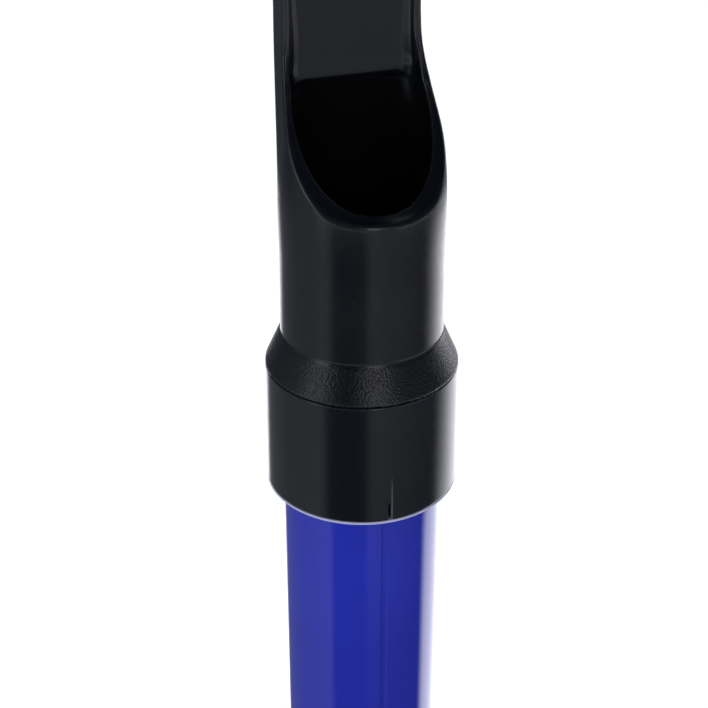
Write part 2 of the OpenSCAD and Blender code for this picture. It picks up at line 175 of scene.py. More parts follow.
class FlatField:
    """Signed distance to a closed outline, kept on a fine grid and read back by interpolation."""

    def __init__(self, path, spacing=0.25, margin=6.0):
        self.low = path.min(0) - margin
        self.spacing = spacing
        count = np.ceil((path.max(0) + margin - self.low) / spacing).astype(int) + 1
        x, z = np.meshgrid(*[self.low[i] + spacing * np.arange(count[i]) for i in (0, 1)],
                           indexing="ij")
        nearest = np.full(x.shape, 1e9)
        inside = np.zeros(x.shape, bool)
        for (ax, az), (bx, bz) in zip(path, np.roll(path, -1, 0)):
            dx, dz = bx - ax, bz - az
            length2 = dx * dx + dz * dz
            if length2 < 1e-12:
                continue
            t = np.clip(((x - ax) * dx + (z - az) * dz) / length2, 0, 1)
            nearest = np.minimum(nearest, (x - ax - t * dx) ** 2 + (z - az - t * dz) ** 2)
            if az != bz:
                inside ^= ((z >= az) != (z >= bz)) & (x < ax + (z - az) * dx / dz)
        self.grid = np.sqrt(nearest) * np.where(inside, -1, 1)

    def __call__(self, x, z):
        u = np.clip((x - self.low[0]) / self.spacing, 0, self.grid.shape[0] - 1.001)
        v = np.clip((z - self.low[1]) / self.spacing, 0, self.grid.shape[1] - 1.001)
        i, j = u.astype(int), v.astype(int)
        u, v = u - i, v - j
        g = self.grid
        return ((g[i, j] * (1 - u) + g[i + 1, j] * u) * (1 - v)
                + (g[i, j + 1] * (1 - u) + g[i + 1, j + 1] * u) * v)


def surface_net(name, field, xs, ys, zs, offset=(0, 0, 0)):
    """Meshes the zero surface of a field over a box of grid lines: one vertex in each cell that
    the surface crosses, then moved on to the surface itself. Stores how sharply the surface
    turns in the attribute "edge"."""
    axes = (xs, ys, zs)
    f = np.empty((len(xs), len(ys), len(zs)), np.float32)
    for k in range(0, len(zs), 40):
        x, y, z = np.meshgrid(xs, ys, zs[k:k + 40], indexing="ij")
        f[:, :, k:k + 40] = field(x, y, z)
    inside = f < 0
    count = np.zeros(tuple(n - 1 for n in f.shape), np.int8)
    corners = [(i, j, k) for i in (0, 1) for j in (0, 1) for k in (0, 1)]
    for i, j, k in corners:
        count += inside[i:i + count.shape[0], j:j + count.shape[1], k:k + count.shape[2]]
    cells = np.argwhere((count > 0) & (count < 8))
    number = np.full(count.shape, -1, np.int64)
    number[tuple(cells.T)] = np.arange(len(cells))

    total = np.zeros((len(cells), 3))
    hits = np.zeros(len(cells))
    for a in corners:
        for axis in range(3):
            if a[axis]:
                continue
            b = tuple(1 if n == axis else a[n] for n in range(3))
            pa, pb = cells + a, cells + b
            fa, fb = f[tuple(pa.T)], f[tuple(pb.T)]
            crosses = (fa < 0) != (fb < 0)
            t = np.where(crosses, fa / np.where(crosses, fa - fb, 1), 0)
            for n in range(3):
                start, end = axes[n][pa[:, n]], axes[n][pb[:, n]]
                total[:, n] += np.where(crosses, start + t * (end - start), 0)
            hits += crosses
    points = total / hits[:, None]

    h = 0.02
    shifts = h * np.array([s * np.eye(3)[n] for n in range(3) for s in (1, -1)])
    for _ in range(4):
        value = field(*points.T)
        around = [field(*(points + s).T) for s in shifts]
        slope = np.column_stack([(around[2 * n] - around[2 * n + 1]) / (2 * h) for n in range(3)])
        move = -value[:, None] * slope / np.maximum((slope ** 2).sum(1), 0.05)[:, None]
        size = np.linalg.norm(move, axis=1)
        points += move * np.minimum(1, 0.25 / np.maximum(size, 1e-9))[:, None]
    wide = 0.35
    bend = sum(field(*(points + s * wide / h).T) for s in shifts) / wide ** 2

    quads = []
    for axis in range(3):
        one, two = (axis + 1) % 3, (axis + 2) % 3
        lower = [slice(None)] * 3
        upper = [slice(None)] * 3
        lower[axis], upper[axis] = slice(0, -1), slice(1, None)
        for n in (one, two):
            lower[n] = upper[n] = slice(1, -1)
        a, b = inside[tuple(lower)], inside[tuple(upper)]
        edges = np.argwhere(a != b)
        flip = a[tuple(edges.T)]
        around = []
        for d1, d2 in ((0, 0), (1, 0), (1, 1), (0, 1)):
            cell = edges.copy()
            cell[:, one] += d1
            cell[:, two] += d2
            around.append(number[tuple(cell.T)])
        quad = np.column_stack(around)
        quads.append(np.where(flip[:, None], quad, quad[:, ::-1]))
    piece = mesh_object(name, (points + np.array(offset)) * MM, np.vstack(quads))
    edge = piece.data.attributes.new("edge", "FLOAT", "POINT")
    edge.data.foreach_set("value", bend.astype(np.float32))
    return piece


def mesh_object(name, points, faces):
    """Smooth-shaded mesh object from vertices in metres and faces with the same corner count."""
    faces = np.asarray(faces)
    mesh = bpy.data.meshes.new(name)
    mesh.vertices.add(len(points))
    mesh.vertices.foreach_set("co", np.asarray(points, np.float32).ravel())
    mesh.loops.add(faces.size)
    mesh.loops.foreach_set("vertex_index", faces.ravel().astype(np.int32))
    mesh.polygons.add(len(faces))
    starts = np.arange(0, faces.size, faces.shape[1], dtype=np.int32)
    mesh.polygons.foreach_set("loop_start", starts)
    mesh.update(calc_edges=True)
    mesh.validate()
    mesh.shade_smooth()
    piece = bpy.data.objects.new(name, mesh)
    bpy.context.scene.collection.objects.link(piece)
    return piece


def rounded_profile(corners):
    """Closed profile of (r, z, rounding radius) corners, with each corner turned into an arc."""
    path = []
    for i, (r, z, bend) in enumerate(corners):
        here = np.array([r, z])
        before = np.array(corners[i - 1][:2]) - here
        after = np.array(corners[(i + 1) % len(corners)][:2]) - here
        before, after = before / np.linalg.norm(before), after / np.linalg.norm(after)
        half = math.acos(np.clip(before @ after, -1, 1)) / 2
        if bend == 0 or half > math.radians(89):
            path.append(here)
            continue
        centre = here + (before + after) / np.linalg.norm(before + after) * bend / math.sin(half)
        first = here + before * bend / math.tan(half) - centre
        last = here + after * bend / math.tan(half) - centre
        for t in np.linspace(0, 1, 6):
            point = first * (1 - t) + last * t
            path.append(centre + point / np.linalg.norm(point) * bend)
    # A ring close to each end of a long straight keeps the rounding out of its shading
    rings = []
    for start, end in zip(path, path[1:] + path[:1]):
        rings.append(start)
        length = np.linalg.norm(end - start)
        if length > 4:
            rings += [start + (end - start) * t for t in (0.3 / length, 1 - 0.3 / length)]
    return np.array(rings)


def turned(name, corners, segments=192, dent=None):
    """Solid of revolution round the pole's axis. dent(angle, r) may lower a point's radius."""
    path = rounded_profile(corners)
    angle = np.linspace(0, 2 * math.pi, segments, endpoint=False)
    r = np.repeat(path[:, 0][:, None], segments, 1)
    z = np.repeat(path[:, 1][:, None], segments, 1)
    a = np.repeat(angle[None, :], len(path), 0)
    if dent:
        r = r - dent(a, r)
    points = np.stack([r * np.cos(a), r * np.sin(a), z], -1).reshape(-1, 3) * MM
    i, j = np.meshgrid(np.arange(len(path)), np.arange(segments), indexing="ij")
    i2, j2 = (i + 1) % len(path), (j + 1) % segments
    faces = np.stack([i * segments + j, i * segments + j2,
                      i2 * segments + j2, i2 * segments + j], -1)
    return mesh_object(name, points, faces.reshape(-1, 4))


# ---------------------------------------------------------------- head

def hook_path():
    """Front outline of spine, nose and hook, with the same arcs as the CAD model."""
    nose_blend, crotch_blend = 12.0, 8.0
    side = np.array([-spine_half_w - nose_blend,
                     nose[1] - math.sqrt((nose_r + nose_blend) ** 2
                                         - (spine_half_w + nose_blend) ** 2)])
    crotch = crossing(nose, nose_r + crotch_blend, arch, arch_r + crotch_blend)
    return np.vstack([
        [[-spine_half_w, 10.0]],
        arc(side, nose_blend, 0, heading(side, nose)),
        arc(nose, nose_r, heading(side, nose) + 180, heading(nose, crotch)),
        arc(crotch, crotch_blend, heading(nose, crotch) + 180, heading(crotch, arch) + 360),
        arc(arch, arch_r, heading(arch, crotch), 0),
        arc(tip, arm_w / 2, 0, -180),
        arc(throat, throat_r, 0, 180),
        [[spine_half_w, 10.0]],
    ])


def rib_field(x, z):
    """Stiffening ribs that stand in the pockets of the hook, seen from the front."""
    half = 1.0
    ribs = [np.maximum(np.abs(z - level) - half, x - spine_half_w) for level in (113.0, 135.0)]
    for turn in (15, 50, 85, 120):
        a = math.radians(turn)
        along = (x - throat[0]) * math.cos(a) + (z - throat[1]) * math.sin(a)
        across = (z - throat[1]) * math.cos(a) - (x - throat[0]) * math.sin(a)
        ribs.append(np.maximum(np.abs(across) - half, np.abs(along - throat_r - 8) - 9))
    return np.minimum.reduce(ribs)


def head_field():
    outline = FlatField(hook_path())

    def field(x, y, z):
        rho = np.hypot(x, y)
        # Round neck that becomes a flat spine: its sides draw in and its back corners fill out
        wall = neck_r + (neck_top_r - neck_r) * np.clip((z - taper_h) / (lip_z - taper_h), 0, 1)
        swell = 0.2
        half_w = (wall + ease(z, 16, 0, 27, swell)
                  + ease(z, 27, 0, 55, spine_half_w - neck_top_r - swell))
        bend = ease(z, 28, neck_top_r, 54, 2.6)
        bend = np.where(z < 27, wall, np.minimum(bend, half_w))
        qx, qy = np.abs(x) - (half_w - bend), y - (neck_top_r - bend)
        box = (np.hypot(np.maximum(qx, 0), np.maximum(qy, 0)) - bend
               + np.minimum(np.maximum(qx, qy), 0))
        solid = np.where((y < 0) | (z < 27), rho - half_w, box)
        cone = taper_r + (neck_r - taper_r) * (z - taper_lip) / (taper_h - taper_lip)
        taper = round_max((rho - cone) * 0.93, rho - taper_r, 0.1)
        solid = round_min(solid, np.maximum(taper, z - 12), 0.05)
        solid = round_max(solid, -0.12 - z, 0.15)
        # Spine above the neck
        back = ease(z, bend_low - 2, neck_top_r, bend_high + 3, half_thick)
        flat = outline(x, z)
        solid = np.where(z < 54, solid, round_max(flat, y - back, 2.6))
        # Front: the scoop that opens the hollow, then the flat spine, deepening into the hook
        scoop = np.sqrt(np.maximum(scoop_r ** 2 - (scoop_z - np.minimum(z, scoop_z)) ** 2, 1.0))
        short = spine_front_y - scoop_y - scoop
        front = spine_front_y - (short + np.hypot(short, 0.8)) / 2
        front = front + ease(z, bend_low, 0, bend_high, -half_thick - spine_front_y)
        open_front = (y - front) * np.minimum(scoop / scoop_r + 0.08, 1)
        solid = cut(solid, round_max(open_front, lip_z - z, 1.5), 0.5)
        # Shallow dish on the spine, which deepens to a walled pocket on the hook
        side = np.where(z < 57, np.abs(x) - half_w, flat)
        inset = ease(z, 32, 4.0, 47, 1.05) + ease(z, bend_low, 0.0, bend_high, 0.85)
        floor = ease(z, bend_low, dish_floor_y, bend_high, -half_web)
        bead = 0.12 * np.exp(-((z - hollow_top - 1.6) / 0.9) ** 2)
        fillet = ease(z, 46, 2.2, 58, 1.4) + ease(z, bend_low, 0, bend_high, 1.0)
        pocket = round_max(side + inset, y - floor + bead, fillet)
        pocket = np.maximum(pocket, 35 - z)
        ribs = rib_field(x, z)
        pocket = cut(pocket, ribs, 1.2)
        solid = cut(solid, pocket, 0.55)
        # Back pocket
        rear = ease(z, 76, neck_top_r + 3, 98, half_web)
        pocket = cut(round_max(flat + 1.9, rear - y, 2.4), ribs, 1.2)
        pocket = np.maximum(pocket, 74 - z)
        solid = cut(solid, pocket, 0.55)
        # Spigot inside the tube, then the hollow through everything
        spigot = np.maximum(np.maximum(rho - (top_r - tube_wall - 0.05), z - 0.6), -spigot_len - z)
        solid = np.minimum(solid, spigot)
        hollow = round_max(rho - hollow_r, z - hollow_top, 1.0)
        return cut(solid, hollow, ease(z, 34, 0.4, 43, 0.9))

    return field


def make_head():
    reach = high("hook_head")[0]
    return surface_net(
        "head_moulding", head_field(),
        steps((-16, 16, 0.36), (16, reach + 1, 0.5)),
        steps((-16, 16, 0.36)),
        steps((-spigot_len - 1.5, -1.5, 3.0), (-1.5, 1.2, 0.15), (1.2, 8, 0.3), (8, 60, 0.4),
              (60, nose[1] + nose_r + 1, 0.5)),
        offset=(0, 0, seam_z))


def make_collar():
    """Smooth ferrule with a short notch in its lower edge, at the front."""
    bottom, top = low("head_collar")[2], high("head_collar")[2]
    length = top - bottom
    top_edge_r = 15.0

    def field(x, y, z):
        rho = np.hypot(x, y)
        outer = rho - (collar_low_r + (top_edge_r - collar_low_r) * z / length)
        # Fine parting line down the front, ending in the notch
        flash = 0.05 * np.exp(-(x / 0.16) ** 2) * np.clip((10 - z) / 6, 0, 1) * (y < 0)
        solid = round_max(outer - flash, -z, 0.3)
        solid = round_max(solid, z - length - 0.08, 0.12)
        notch = np.maximum(np.maximum(np.abs(x + 0.1) - 0.18, y), z - 2.8)
        solid = cut(solid, notch, 0.08)
        hole = np.maximum(np.hypot(x, z - (rivet_z - bottom)) - rivet_r, -y)
        solid = cut(solid, hole, 0.1)
        return np.maximum(solid, top_r - rho)

    return surface_net(
        "ferrule", field,
        steps((-16, -1, 0.36), (-1, 1, 0.08), (1, 16, 0.36)),
        steps((-16, 16, 0.36)),
        steps((-1, 1, 0.12), (1, 4, 0.2), (4, length - 1, 0.5), (length - 1, length + 0.7, 0.12)),
        offset=(0, 0, bottom))


def make_rivet():
    """Moulded rivet in the back of the ferrule, its head trimmed to the ferrule's curve."""
    inner, outer = low("head_pin")[1], high("head_pin")[1]

    def field(x, y, z):
        shank = round_max(np.hypot(x, z) - rivet_r, inner - y, 0.3)
        return round_max(shank, np.hypot(x, y) - outer - 0.16, 0.15)

    return surface_net("head_rivet", field, steps((-2.6, 2.6, 0.2)),
                       steps((inner - 0.5, outer - 1, 0.3), (outer - 1, outer + 0.6, 0.15)),
                       steps((-2.6, 2.6, 0.2)), offset=(0, 0, rivet_z))


def groove(a, r, tube_r):
    """Depth of the soft-edged groove down a tube's front, at -Y."""
    across = np.abs(((a + math.pi / 2 + math.pi) % (2 * math.pi)) - math.pi) * r
    depth = groove_depth * (1 - np.clip((across - groove_half_w) / groove_soft, 0, 1))
    return np.where(r > tube_r - 0.5, depth, 0)


def make_tube(node, name):
    r, bottom, top = radius(node), low(node)[2], high(node)[2]
    return turned(name, [
        (r, bottom, 0.3), (r, top, 0.3), (r - tube_wall, top, 0.2), (r - tube_wall, bottom, 0.2)
    ], segments=720, dent=lambda a, point_r: groove(a, point_r, r))


def make_washer():
    r, bottom, top = radius("collar_washer"), low("collar_washer")[2], high("collar_washer")[2]
    return turned("pale_washer", [
        (r, bottom, 0.18), (r, top, 0.12), (top_r, top, 0.05), (top_r, bottom, 0.05)], 256)


# ---------------------------------------------------------------- handle end

def screw_hole(x, y, z, wall_y):
    """Seat and hole for a screw driven in from the back, where the wall is at +wall_y."""
    seat = np.maximum(np.hypot(x, z) - screw_seat_r, wall_y - screw_seat_depth - y)
    shank = np.maximum(np.hypot(x, z) - screw_shank_r, -y)
    return np.minimum(seat, shank)


def make_grip():
    r, bottom, top = radius("grip_sleeve"), low("grip_sleeve")[2], high("grip_sleeve")[2]
    return turned("foam_grip", [
        (r, bottom, 3.4), (r, top, 3.4), (outer_r, top, 0.3), (outer_r, bottom, 0.3)], 192)


def make_cap():
    r, top = radius("end_cap"), high("end_cap")[2]
    floor = low("outer_tube")[2]
    lanyard_r, screw_z = 4.0, 35
    flutes, flute_depth = 24, 0.5

    def field(x, y, z):
        rho = np.hypot(x, y)
        solid = round_max(round_max(rho - r, -z, 2.8), z - top, 1.0)
        # Band of shallow flutes for the fingers
        angle = np.arctan2(y, x)
        dent = flute_depth * (0.5 + 0.5 * np.cos(flutes * angle)) * np.clip((z - 25) / 2, 0, 1)
        dent = dent * np.clip((top - 5 - z) / 2, 0, 1)
        solid = solid + dent * np.clip(y * -0.2 + 3, 0, 1)
        solid = cut(solid, np.maximum(rho - outer_r, floor - z), 0.4)
        solid = cut(solid, np.hypot(y, z - floor / 2) - lanyard_r, 0.9)
        return cut(solid, screw_hole(x, y, z - screw_z, r), 0.1)

    return surface_net("butt_cap", field, steps((-20, 20, 0.5)), steps((-20, 20, 0.5)),
                       steps((-1, top + 1, 0.5)))


# ---------------------------------------------------------------- clamps

def clamp_layout(prefix):
    """Radii and places shared by the pieces of one clamp. Its z is 0 at the end of its tube."""
    tube = "outer_tube" if prefix == "lower" else "mid_tube"
    r = radius(tube)
    pin_low, pin_high = low(prefix + "_lever_pin"), high(prefix + "_lever_pin")
    return {
        "tube_r": r, "out": r + 2.6, "z0": high(tube)[2],
        "pin": (pin_low + pin_high) / 2, "bolt_z": 11.0, "ear_y": 6.2, "slit": 2.4,
    }


def make_clamp_body(prefix):
    c = clamp_layout(prefix)
    out, ear_x = c["out"], c["out"] + 11
    base = low(prefix + "_clamp_body")[2] - c["z0"]
    top = high(prefix + "_clamp_body")[2] - c["z0"]
    bolt_x, screw_z = c["pin"][0], -14

    def field(x, y, z):
        rho = np.hypot(x, y)
        solid = round_max(round_max(rho - out, base - z, 0.6), z - top, 1.0)
        for level in (base + 1.5, -1.5):
            rib = round_max(rho - out - 0.5, np.abs(z - level) - 1.5, 0.5)
            solid = round_min(solid, rib, 0.8)
        ears = box_field(x, y, z, ((ear_x + 12) / 2, 0, c["bolt_z"]),
                         ((ear_x - 12) / 2, c["ear_y"], 9.0), 2.0)
        solid = round_min(solid, ears, 2.0)
        slit = np.maximum(np.maximum(np.abs(y) - c["slit"] / 2, 1 - z), c["tube_r"] - 2 - x)
        solid = cut(solid, slit, 0.4)
        bolt = np.maximum(np.hypot(x - bolt_x, z - c["bolt_z"]) - 2.15, np.abs(y) - 12)
        solid = cut(solid, bolt, 0.2)
        solid = cut(solid, screw_hole(x, y, z - screw_z, out), 0.1)
        return cut(solid, rho - c["tube_r"], 0.3)

    return surface_net(prefix + "_clamp_moulding", field,
                       steps((-out - 1.5, ear_x + 1, 0.45)), steps((-out - 1.5, out + 1.5, 0.45)),
                       steps((base - 1, top + 1, 0.45)), offset=(0, 0, c["z0"]))


def make_lever(prefix):
    c = clamp_layout(prefix)
    cam_r, arm_t, tab, end = 4.6, 3.2, 7.0, -142.0
    low_r = c["out"] + 0.4
    high_r = low_r + arm_t
    pin = c["pin"][:2]
    reach = np.linalg.norm(pin)
    to_pole = heading(pin, (0, 0))
    inner = to_pole - math.degrees(math.acos((cam_r + low_r) / reach))
    outer = to_pole + math.degrees(math.acos((cam_r - high_r) / reach)) - 360
    a = math.radians(end)
    spoke, along = np.array([math.cos(a), math.sin(a)]), np.array([math.sin(a), -math.cos(a)])
    tab_end = (low_r + arm_t / 2 + 1.6) * spoke + tab * along
    outline = FlatField(np.vstack([
        arc(pin, cam_r, inner, outer),
        arc((0, 0), high_r, outer, end),
        arc(tab_end, arm_t / 2 + 0.2, end, end - 180),
        arc((0, 0), low_r, end, inner - 180),
    ]), spacing=0.2, margin=3.0)
    mid_z = c["bolt_z"]

    def field(x, y, z):
        solid = round_max(outline(x, y), np.abs(z - mid_z) - 8.6, 0.8)
        pin_r = np.hypot(x - pin[0], y - pin[1])
        solid = cut(solid, np.maximum(pin_r - cam_r - 2, np.abs(z - mid_z) - 3.5), 0.3)
        solid = cut(solid, pin_r - 2.55, 0.2)
        across = x * spoke[0] + y * spoke[1] - high_r - 1.4
        beyond = x * along[0] + y * along[1] - 1
        for level in (-4, 0, 4):
            ridge = np.hypot(across, z - mid_z - level) - 0.9
            solid = cut(solid, np.maximum(ridge, -beyond), 0.25)
        # Long shallow recess along the outside of the arm
        rho, angle = np.hypot(x, y), np.degrees(np.arctan2(y, x))
        panel = np.maximum(np.abs(z - mid_z) - 5.2, (np.abs(angle + 104) - 22) * 0.35)
        return cut(solid, round_max(panel, high_r - 0.6 - rho, 0.4), 0.3)

    box_low, box_high = low(prefix + "_lever"), high(prefix + "_lever")
    return surface_net(prefix + "_lever_moulding", field,
                       steps((box_low[0] - 1, box_high[0] + 1, 0.4)),
                       steps((box_low[1] - 1, box_high[1] + 1, 0.4)),
                       steps((mid_z - 9.6, mid_z + 9.6, 0.4)), offset=(0, 0, c["z0"]))


# ---------------------------------------------------------------- materials

class Nodes:
    """Short way to write a node tree: add nodes, join sockets, keep the tree readable."""

    def __init__(self, tree):
        self.tree = tree

    def add(self, kind, inputs=(), **settings):
        node = self.tree.nodes.new(kind)
        for key, value in settings.items():
            setattr(node, key, value)
        for key, value in dict(inputs).items():
            if isinstance(value, bpy.types.NodeSocket):
                self.tree.links.new(value, node.inputs[key])
            else:
                node.inputs[key].default_value = value
        return node

    def maths(self, operation, a, b=0.0, c=0.0):
        return self.add("ShaderNodeMath", {0: a, 1: b, 2: c}, operation=operation).outputs[0]

    def ramp(self, value, from_low, from_high, to_low, to_high, smooth=True):
        return self.add(
            "ShaderNodeMapRange",
            {"Value": value, 1: from_low, 2: from_high, 3: to_low, 4: to_high},
            interpolation_type="SMOOTHSTEP" if smooth else "LINEAR").outputs[0]

    def noise(self, scale, detail=2.0, rough=0.5, coords=None, kind="ShaderNodeTexNoise"):
        inputs = {"Scale": scale, "Detail": detail, "Roughness": rough}
        if coords is not None:
            inputs["Vector"] = coords
        return self.add(kind, inputs).outputs[0]

    def mix(self, factor, a, b):
        node = self.add("ShaderNodeMix", {0: factor}, data_type="RGBA")
        for socket, value in ((node.inputs[6], a), (node.inputs[7], b)):
            if isinstance(value, bpy.types.NodeSocket):
                self.tree.links.new(value, socket)
            else:
                socket.default_value = value
        return node.outputs[2]


def start_material(name, **sockets):
    """Material with a Principled shader whose plain values are set on its own sockets."""
    material = bpy.data.materials.new(name)
    material.use_nodes = True
    shader = material.node_tree.nodes["Principled BSDF"]
    for key, value in sockets.items():
        shader.inputs[key.replace("_", " ")].default_value = value
    n = Nodes(material.node_tree)
    coords = n.add("ShaderNodeTexCoord").outputs["Object"]
    return material, shader, n, coords


def connect(n, socket, shader, key):
    n.tree.links.new(socket, shader.inputs[key])


def bump(n, shader, height, distance, strength=1.0, below=None):
    inputs = {"Height": height, "Distance": distance, "Strength": strength}
    if below is not None:
        inputs["Normal"] = below
    result = n.add("ShaderNodeBump", inputs).outputs[0]
    connect(n, result, shader, "Normal")
    return result


def moulded(name, colour, worn, rough, grain_scale, grain_depth, ior=1.5, has_edge=True):
    """Injection-moulded plastic: fine skin grain, faint flow clouds, paler and smoother edges."""
    material, shader, n, coords = start_material(name, IOR=ior)
    cloud = n.noise(60.0, 3.0, 0.55, coords)
    tint = n.ramp(cloud, 0.3, 0.7, 0.0, 1.0)
    darker = tuple(c * 0.82 for c in colour) + (1.0,)
    colour_out = n.mix(tint, darker, colour + (1.0,))
    scuff = n.noise(900.0, 4.0, 0.65, coords)
    rough_out = n.ramp(scuff, 0.3, 0.7, rough * 0.88, rough * 1.12)
    if has_edge:
        edge = n.add("ShaderNodeAttribute", attribute_name="edge").outputs["Fac"]
        rubbed = n.maths("MULTIPLY", n.ramp(edge, 0.6, 2.4, 0.0, 1.0),
                         n.ramp(cloud, 0.35, 0.6, 0.3, 1.0))
        colour_out = n.mix(rubbed, colour_out, worn + (1.0,))
        rough_out = n.maths("SUBTRACT", rough_out, n.maths("MULTIPLY", rubbed, rough * 0.25))
    connect(n, colour_out, shader, "Base Color")
    connect(n, rough_out, shader, "Roughness")
    grain = n.noise(grain_scale, 2.0, 0.5, coords)
    bump(n, shader, grain, grain_depth)
    return material


def head_material():
    """Satin black nylon. The taper above the seam has a coarse moulded grain."""
    base, worn = (0.0027, 0.0036, 0.0062), (0.008, 0.009, 0.012)
    material, shader, n, coords = start_material("head_nylon", IOR=1.53)
    height = n.add("ShaderNodeSeparateXYZ", {0: coords}).outputs[2]
    up = n.ramp(height, (seam_z + 4.8) * MM, (seam_z + 6.0) * MM, 1.0, 0.0)
    on_taper = n.maths("MULTIPLY", up, n.ramp(height, (seam_z - 0.2) * MM, seam_z * MM, 0.0, 1.0))
    cloud = n.noise(45.0, 3.0, 0.55, coords)
    darker = tuple(c * 0.85 for c in base) + (1.0,)
    colour = n.mix(n.ramp(cloud, 0.3, 0.7, 0.0, 1.0), darker, base + (1.0,))
    edge = n.add("ShaderNodeAttribute", attribute_name="edge").outputs["Fac"]
    rubbed = n.maths("MULTIPLY", n.ramp(edge, 0.6, 2.2, 0.0, 1.0),
                     n.ramp(cloud, 0.35, 0.6, 0.4, 1.0))
    colour = n.mix(rubbed, colour, worn + (1.0,))
    scuff = n.noise(700.0, 4.0, 0.6, coords)
    smooth_skin = n.ramp(scuff, 0.3, 0.7, 0.20, 0.25)
    rough = n.add("ShaderNodeMix", {0: on_taper, 2: smooth_skin, 3: 0.28}).outputs[0]
    # The hollow's wall is left rough from the mould; its near-black colour and weaker specular are
    # painted shade for the deep, unlit cavity
    across = n.add("ShaderNodeVectorMath", {0: coords, 1: (1, 1, 0)},
                   operation="MULTIPLY").outputs[0]
    out = n.add("ShaderNodeVectorMath", {0: across}, operation="LENGTH").outputs["Value"]
    roof = seam_z + hollow_top
    hollow = n.maths("MULTIPLY",
                     n.ramp(out, (hollow_r + 0.05) * MM, (hollow_r + 0.5) * MM, 1.0, 0.0),
                     n.ramp(height, (roof - 1.5) * MM, roof * MM, 1.0, 0.0))
    connect(n, n.add("ShaderNodeMix", {0: hollow, 2: rough, 3: 0.75}).outputs[0], shader, "Roughness")
    connect(n, n.ramp(hollow, 0, 1, 0.5, 0.12), shader, "Specular IOR Level")
    # Painted shade: the hollow's wall is mixed to near-black
    connect(n, n.mix(hollow, colour, (0.0008, 0.0009, 0.0012, 1.0)), shader, "Base Color")
    fine = bump(n, shader, n.noise(1500.0, 2.0, 0.5, coords), 0.000003)
    cells = n.add("ShaderNodeTexVoronoi", {"Vector": coords, "Scale": 2900.0}).outputs[0]
    coarse = n.maths("MULTIPLY", n.maths("ADD", cells, n.noise(3200.0, 2.0, 0.6, coords)), on_taper)
    bump(n, shader, coarse, 0.00004, below=fine)
    return material


def tube_material():
    """Glossy blue anodised tube: faint drawing lines along it and a few fine rubs."""
    material, shader, n, coords = start_material("blue_tube", IOR=1.6)
    drawn = n.add("ShaderNodeMapping", {0: coords, 3: (1.0, 1.0, 0.01)}).outputs[0]
    lines = n.noise(1400.0, 3.0, 0.6, drawn)
    cloud = n.noise(25.0, 2.0, 0.5, coords)
    colour = n.mix(n.ramp(cloud, 0.35, 0.65, 0.0, 1.0), (0.0145, 0.0235, 0.365, 1.0),
                   (0.0170, 0.0280, 0.405, 1.0))
    colour = n.mix(n.ramp(lines, 0.35, 0.75, 0.0, 0.25), colour, (0.012, 0.020, 0.34, 1.0))
    connect(n, colour, shader, "Base Color")
    connect(n, n.ramp(lines, 0.3, 0.7, 0.055, 0.10), shader, "Roughness")
    bump(n, shader, lines, 0.000002)
    return material


def washer_material():
    """Pale natural plastic that lets a little light through."""
    material, shader, n, coords = start_material(
        "pale_washer", IOR=1.5, Subsurface_Weight=0.25, Subsurface_Scale=0.001)
    cloud = n.noise(400.0, 2.0, 0.5, coords)
    connect(n, n.mix(cloud, (0.36, 0.40, 0.56, 1.0), (0.50, 0.54, 0.70, 1.0)), shader, "Base Color")
    connect(n, n.ramp(cloud, 0.3, 0.7, 0.30, 0.42), shader, "Roughness")
    bump(n, shader, cloud, 0.00001)
    return material


def foam_material(name, dark, light, scale, depth):
    """Closed-cell foam: small open skin cells over a soft uneven colour."""
    material, shader, n, coords = start_material(name, IOR=1.35)
    cells = n.add("ShaderNodeTexVoronoi", {"Vector": coords, "Scale": scale}).outputs[0]
    cloud = n.noise(90.0, 4.0, 0.6, coords)
    colour = n.mix(n.maths("MULTIPLY", cells, cloud), dark + (1.0,), light + (1.0,))
    connect(n, colour, shader, "Base Color")
    connect(n, n.ramp(cloud, 0.3, 0.7, 0.62, 0.82), shader, "Roughness")
    low_bump = bump(n, shader, cloud, depth * 2)
    bump(n, shader, cells, depth, below=low_bump)
    return material


def steel_material():
    """Passivated stainless steel with fine turning marks."""
    material, shader, n, coords = start_material("stainless", Metallic=1.0)
    stretched = n.add("ShaderNodeMapping", {0: coords, 3: (1, 0.15, 1)}).outputs[0]
    marks = n.noise(3000.0, 3.0, 0.7, stretched)
    cloud = n.noise(300.0, 2.0, 0.5, coords)
    connect(n, n.mix(cloud, (0.52, 0.53, 0.55, 1.0), (0.64, 0.65, 0.66, 1.0)), shader, "Base Color")
    connect(n, n.ramp(marks, 0.3, 0.7, 0.18, 0.36), shader, "Roughness")
    bump(n, shader, marks, 0.000008)
    return material


# ---------------------------------------------------------------- put the pieces together

def place(piece, body, slot, material, *nodes):
    """A finished piece stands for its CAD nodes and rides on their body."""
    piece.data.materials.clear()
    piece.data.materials.append(material)
    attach(piece, body)
    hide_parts(*nodes)


def dress(node, material):
    """Gives a carried-over CAD node its material."""
    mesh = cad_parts[node].data
    mesh.materials.clear()
    mesh.materials.append(material)


def paint_parting_line_highlight(material):
    """Painted highlight: a faint pale line painted along the right edge of the notch and the parting
    line above it, where that edge catches the light.
    """
    n = Nodes(material.node_tree)
    shader = material.node_tree.nodes["Principled BSDF"]
    parts = n.add("ShaderNodeSeparateXYZ", {0: n.add("ShaderNodeTexCoord").outputs["Object"]})
    x, y, z = parts.outputs
    bottom = low("head_collar")[2]
    near = n.ramp(n.maths("ABSOLUTE", n.maths("SUBTRACT", x, 0.00022)), 0.00005, 0.00020, 1.0, 0.0)
    rise = n.ramp(z, (bottom + 4) * MM, (bottom + 9) * MM, 0.10, 0.0)
    mask = n.maths("MULTIPLY", n.maths("MULTIPLY", near, rise), n.ramp(y, -0.001, 0.0, 1.0, 0.0))
    old = shader.inputs["Base Color"].links[0].from_socket
    # The pale colour mixed in here is a painted highlight on the notch's edge
    connect(n, n.mix(mask, old, (0.6, 0.65, 0.75, 1.0)), shader, "Base Color")


